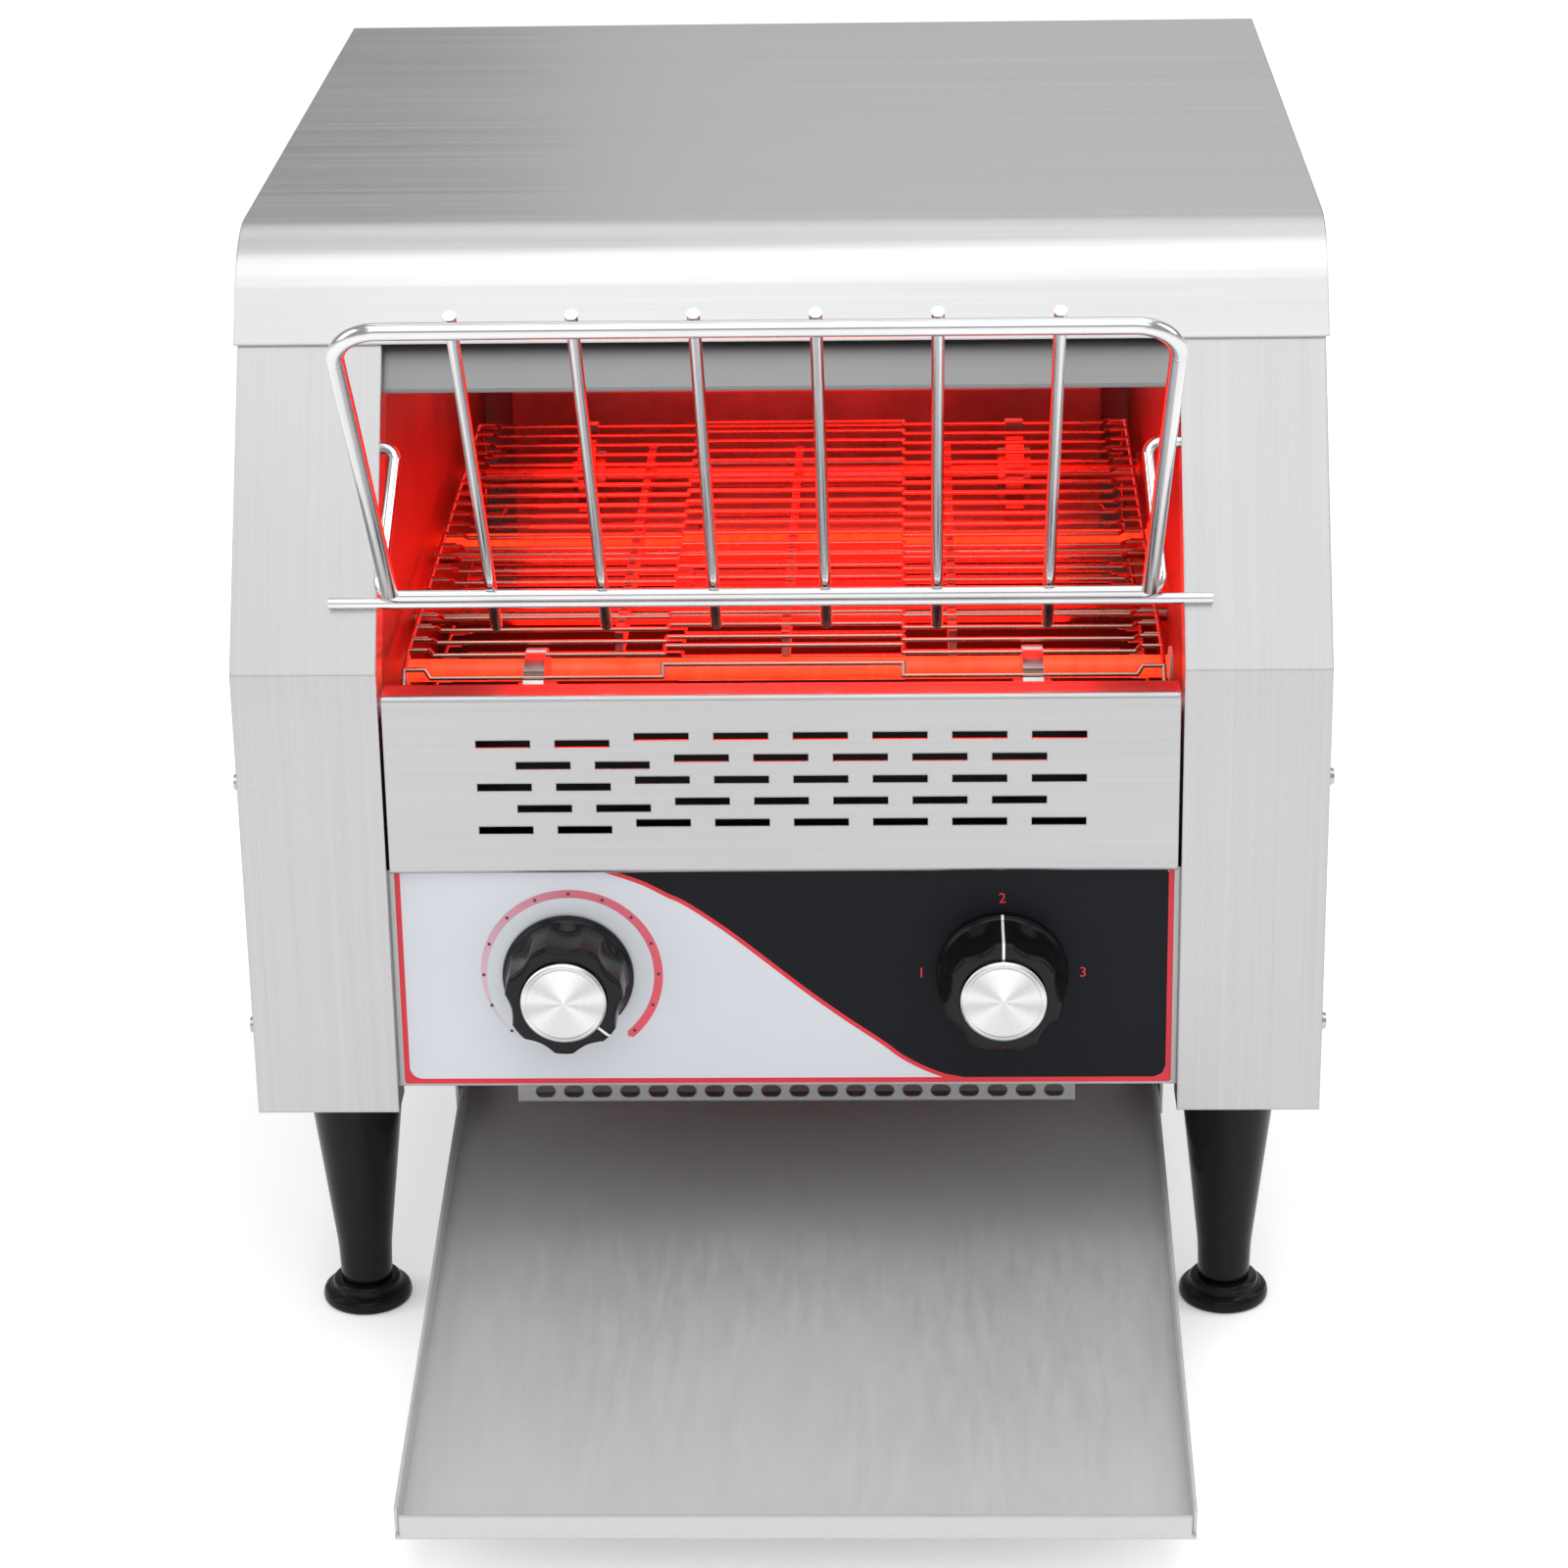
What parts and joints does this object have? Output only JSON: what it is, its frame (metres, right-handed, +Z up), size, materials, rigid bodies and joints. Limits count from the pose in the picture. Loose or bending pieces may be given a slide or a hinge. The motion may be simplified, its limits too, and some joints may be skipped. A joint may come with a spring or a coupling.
{
  "type": "conveyor toaster",
  "caption": "Stainless steel countertop conveyor toaster with a wire belt, a tilted wire loading rack, two front knobs and a sloping toast tray under the body.",
  "frame": {"origin": "centre of the bounding box's footprint on the counter, at the undersides of the feet", "axes": "+Z up; -Y towards the user, where the knobs, the loading rack and the toast tray are; +X to the user's right"},
  "size_m": [0.3696, 0.5764, 0.4013],
  "materials": {
    "stainless_steel": "fine straight brushed grain, satin",
    "galvanised_steel": "dull zinc-coated inner sheet, lightly scratched",
    "tray_steel": "brushed grain along the tray, worn by crumbs",
    "chromed_wire": "bright plated wire",
    "belt_wire": "drawn stainless wire, heat-tinted",
    "printed_overlay": "printed film, pale grey and black with a thin red border",
    "knob_plastic": "glossy black moulding",
    "spun_aluminium": "fine turned rings",
    "leg_plastic": "satin black moulding",
    "turned_steel": "turned, lightly oiled",
    "bronze_bush": "sintered bronze",
    "quartz_tube": "frosted tube with the coil glowing inside",
    "ceramic": "unglazed porcelain",
    "motor_housing": "grey paint, satin",
    "black_plastic": "fine-grained moulding",
    "circuit_board": "green solder resist with dark components",
    "switch_body": "dark thermoset moulding",
    "terminal_plastic": "ivory moulding"
  },
  "bodies": {
    "housing": {"base_pan": "galvanised_steel", "left_pillar": "stainless_steel", "right_pillar": "stainless_steel", "left_side_panel": "stainless_steel", "right_side_panel": "stainless_steel", "rear_panel": "stainless_steel", "top_cover": "stainless_steel", "header_panel": "stainless_steel", "vent_panel": "stainless_steel", "control_panel": "galvanised_steel", "control_overlay": "printed_overlay", "left_chamber_wall": "galvanised_steel", "right_chamber_wall": "galvanised_steel", "upper_reflector": "galvanised_steel", "lower_heat_shield": "galvanised_steel", "upper_elements": "quartz_tube", "lower_elements": "quartz_tube", "element_insulators": "ceramic", "rear_chute": "galvanised_steel", "left_tray_runner": "galvanised_steel", "right_tray_runner": "galvanised_steel", "air_outlet_strip": "galvanised_steel", "front_left_leg": "leg_plastic", "front_right_leg": "leg_plastic", "rear_left_leg": "leg_plastic", "rear_right_leg": "leg_plastic", "conveyor_belt": "belt_wire", "shaft_bushes": "bronze_bush", "belt_support_rails": "belt_wire", "drive_chain": "turned_steel", "gear_motor": "motor_housing", "motor_bracket": "galvanised_steel", "fan_frame": "black_plastic", "speed_control": "circuit_board", "selector_switch": "switch_body", "terminal_block": "terminal_plastic", "cable_gland": "black_plastic", "screws": "turned_steel"},
    "tray": {"toast_tray": "tray_steel"},
    "front_left_levelling_foot": {"front_left_foot": "leg_plastic"},
    "front_right_levelling_foot": {"front_right_foot": "leg_plastic"},
    "rear_left_levelling_foot": {"rear_left_foot": "leg_plastic"},
    "rear_right_levelling_foot": {"rear_right_foot": "leg_plastic"},
    "belt_drive": {"drive_shaft": "turned_steel", "drive_belt_sprockets": "turned_steel", "driven_sprocket": "turned_steel"},
    "belt_idler": {"idler_shaft": "turned_steel", "idler_belt_sprockets": "turned_steel"},
    "motor_output": {"motor_sprocket": "turned_steel"},
    "cooling_fan": {"fan_rotor": "black_plastic"},
    "speed_dial": {"speed_shaft": "turned_steel", "speed_knob": "knob_plastic", "speed_knob_cap": "spun_aluminium"},
    "selector": {"selector_shaft": "turned_steel", "selector_knob": "knob_plastic", "selector_knob_cap": "spun_aluminium"},
    "loading_rack": {"rack_frame": "chromed_wire", "rack_bail": "chromed_wire", "rack_bars": "chromed_wire", "rack_rod": "chromed_wire"}
  },
  "joints": [
    {"name": "tray_slide", "type": "slide", "parent": "housing", "child": "tray", "axis": [0, -0.9893, -0.1461], "range_m": [0, 0.1]},
    {"name": "front_left_foot_adjust", "type": "slide", "parent": "housing", "child": "front_left_levelling_foot", "axis": [0, 0, -1], "range_m": [0, 0.008]},
    {"name": "front_right_foot_adjust", "type": "slide", "parent": "housing", "child": "front_right_levelling_foot", "axis": [0, 0, -1], "range_m": [0, 0.008]},
    {"name": "rear_left_foot_adjust", "type": "slide", "parent": "housing", "child": "rear_left_levelling_foot", "axis": [0, 0, -1], "range_m": [0, 0.008]},
    {"name": "rear_right_foot_adjust", "type": "slide", "parent": "housing", "child": "rear_right_levelling_foot", "axis": [0, 0, -1], "range_m": [0, 0.008]},
    {"name": "belt_drive_turn", "type": "hinge", "parent": "housing", "child": "belt_drive", "pos_m": [0, 0.17696, 0.22545], "axis": [-1, 0, 0], "continuous": true, "deforming": ["conveyor_belt", "drive_chain"]},
    {"name": "belt_idler_turn", "type": "hinge", "parent": "housing", "child": "belt_idler", "pos_m": [0, -0.08974, 0.22545], "axis": [-1, 0, 0], "continuous": true},
    {"name": "motor_output_turn", "type": "hinge", "parent": "housing", "child": "motor_output", "pos_m": [0.158, 0.04772, 0.14469], "axis": [-1, 0, 0], "continuous": true},
    {"name": "fan_turn", "type": "hinge", "parent": "housing", "child": "cooling_fan", "pos_m": [-0.17, 0.02616, 0.16], "axis": [1, 0, 0], "continuous": true},
    {"name": "speed_dial_turn", "type": "hinge", "parent": "housing", "child": "speed_dial", "pos_m": [-0.074, -0.13884, 0.1462], "axis": [0, 1, 0], "range_deg": [-274, 13]},
    {"name": "selector_turn", "type": "hinge", "parent": "housing", "child": "selector", "pos_m": [0.074, -0.13884, 0.1462], "axis": [0, 1, 0], "range_deg": [-180, 90]},
    {"name": "rack_tilt", "type": "hinge", "parent": "housing", "child": "loading_rack", "pos_m": [0, -0.08984, 0.3205], "axis": [1, 0, 0], "range_deg": [-100, 0]}
  ],
  "couplings": [
    {"joint": "belt_idler_turn", "follows": "belt_drive_turn", "ratio": 1},
    {"joint": "motor_output_turn", "follows": "belt_drive_turn", "ratio": 1}
  ]
}
